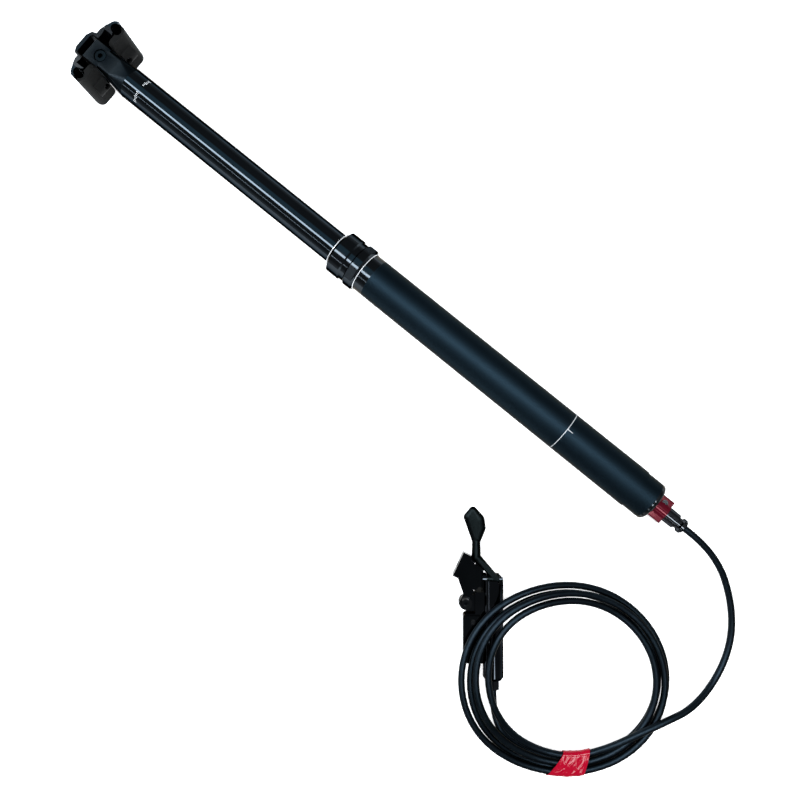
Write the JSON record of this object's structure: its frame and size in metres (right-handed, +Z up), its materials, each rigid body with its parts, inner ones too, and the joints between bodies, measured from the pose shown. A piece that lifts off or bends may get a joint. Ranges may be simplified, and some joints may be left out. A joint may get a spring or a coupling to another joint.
{
  "type": "dropper seatpost",
  "caption": "Hydraulic dropper seatpost: telescoping stanchion in a lower tube, tilting saddle rail clamp, and a coiled hose to a thumb lever remote.",
  "frame": {"origin": "on the post axis at the shoulder under the lock collar, where the frame's seat tube stops", "axes": "+X runs down the post from the saddle clamp to the foot, +Z is up from the table that the part lies on, and +Y completes the right-handed frame"},
  "size_m": [0.6868, 0.2427, 0.043],
  "materials": {
    "post_black": "satin anodised",
    "collar_black": "gloss anodised",
    "stanchion_black": "polished hard anodised",
    "head_black": "fine blasted anodised",
    "cradle_grey": "matte anodised",
    "bolt_steel": "blackened steel",
    "bright_steel": "bright steel",
    "alloy": "turned",
    "bearing": "bearing polymer",
    "seal_rubber": "moulded rubber",
    "foam": "oiled foam",
    "key_brass": "plain",
    "coupling_red": "red anodised",
    "fitting_black": "gloss black",
    "remote_black": "gloss black",
    "cover_grey": "satin grey",
    "hose_black": "smooth hose jacket",
    "tag_red": "glossy printed film"
  },
  "bodies": {
    "lower": {"lower_tube": "post_black", "lock_collar": "collar_black", "collar_cap": "collar_black", "dust_wiper": "seal_rubber", "foam_ring": "foam", "upper_bushing": "bearing", "topout_bumper": "seal_rubber", "piston_rod": "bright_steel", "main_piston": "alloy", "piston_seal": "seal_rubber", "bottomout_bumper": "seal_rubber", "foot_cap": "collar_black", "foot_oring": "seal_rubber", "coupling_ring": "coupling_red", "coupling_screw": "bright_steel", "coupling_sleeve": "fitting_black", "hose_nut": "fitting_black", "remote_body": "remote_black", "pivot_pin": "bright_steel", "reservoir_cover": "cover_grey", "cover_screws": "bolt_steel", "bar_bracket": "cover_grey", "bracket_bolt": "bolt_steel", "bracket_washers": "bolt_steel", "port_nut": "fitting_black", "hose_lead": "hose_black", "hose_coil": "hose_black", "hose_tail": "hose_black", "hose_tag": "tag_red"},
    "upper": {"stanchion": "stanchion_black", "head_tongue": "head_black", "guide_keys": "key_brass", "lower_bush": "bearing", "seal_head": "alloy", "rod_seal": "seal_rubber", "air_valve": "key_brass", "lock_bolt": "bolt_steel", "lock_shoe": "key_brass"},
    "saddle_clamp": {"tilt_barrel": "head_black", "cradle_left": "cradle_grey", "cradle_right": "cradle_grey", "yoke": "head_black", "yoke_bolts": "bolt_steel"},
    "float": {"floating_piston": "alloy", "floating_seal": "seal_rubber"},
    "valve": {"poppet": "bright_steel"},
    "lever": {"remote_lever": "remote_black"},
    "master": {"master_piston": "bright_steel", "piston_cup": "seal_rubber"}
  },
  "joints": [
    {"name": "post_drop", "type": "slide", "parent": "lower", "child": "upper", "axis": [1, 0, 0], "range_m": [0, 0.2]},
    {"name": "saddle_tilt", "type": "hinge", "parent": "upper", "child": "saddle_clamp", "pos_m": [-0.266, 0, 0], "axis": [0, 1, 0], "range_deg": [-12, 12]},
    {"name": "float_slide", "type": "slide", "parent": "upper", "child": "float", "axis": [1, 0, 0], "range_m": [-0.046, 0]},
    {"name": "lever_press", "type": "hinge", "parent": "lower", "child": "lever", "pos_m": [0.22206, -0.11927, -0.0133], "axis": [0.7771, 0.6293, 0], "range_deg": [0, 25], "stiffness_Nm_per_rad": 0.6},
    {"name": "master_slide", "type": "slide", "parent": "lower", "child": "master", "axis": [0.6293, -0.7771, 0], "range_m": [0, 0.0012]},
    {"name": "valve_slide", "type": "slide", "parent": "lower", "child": "valve", "axis": [1, 0, 0], "range_m": [-0.002, 0]}
  ],
  "couplings": [
    {"joint": "float_slide", "follows": "post_drop", "ratio": -0.22676},
    {"joint": "master_slide", "follows": "lever_press", "m_per_rad": 0.0025},
    {"joint": "valve_slide", "follows": "lever_press", "m_per_rad": -0.0045}
  ]
}
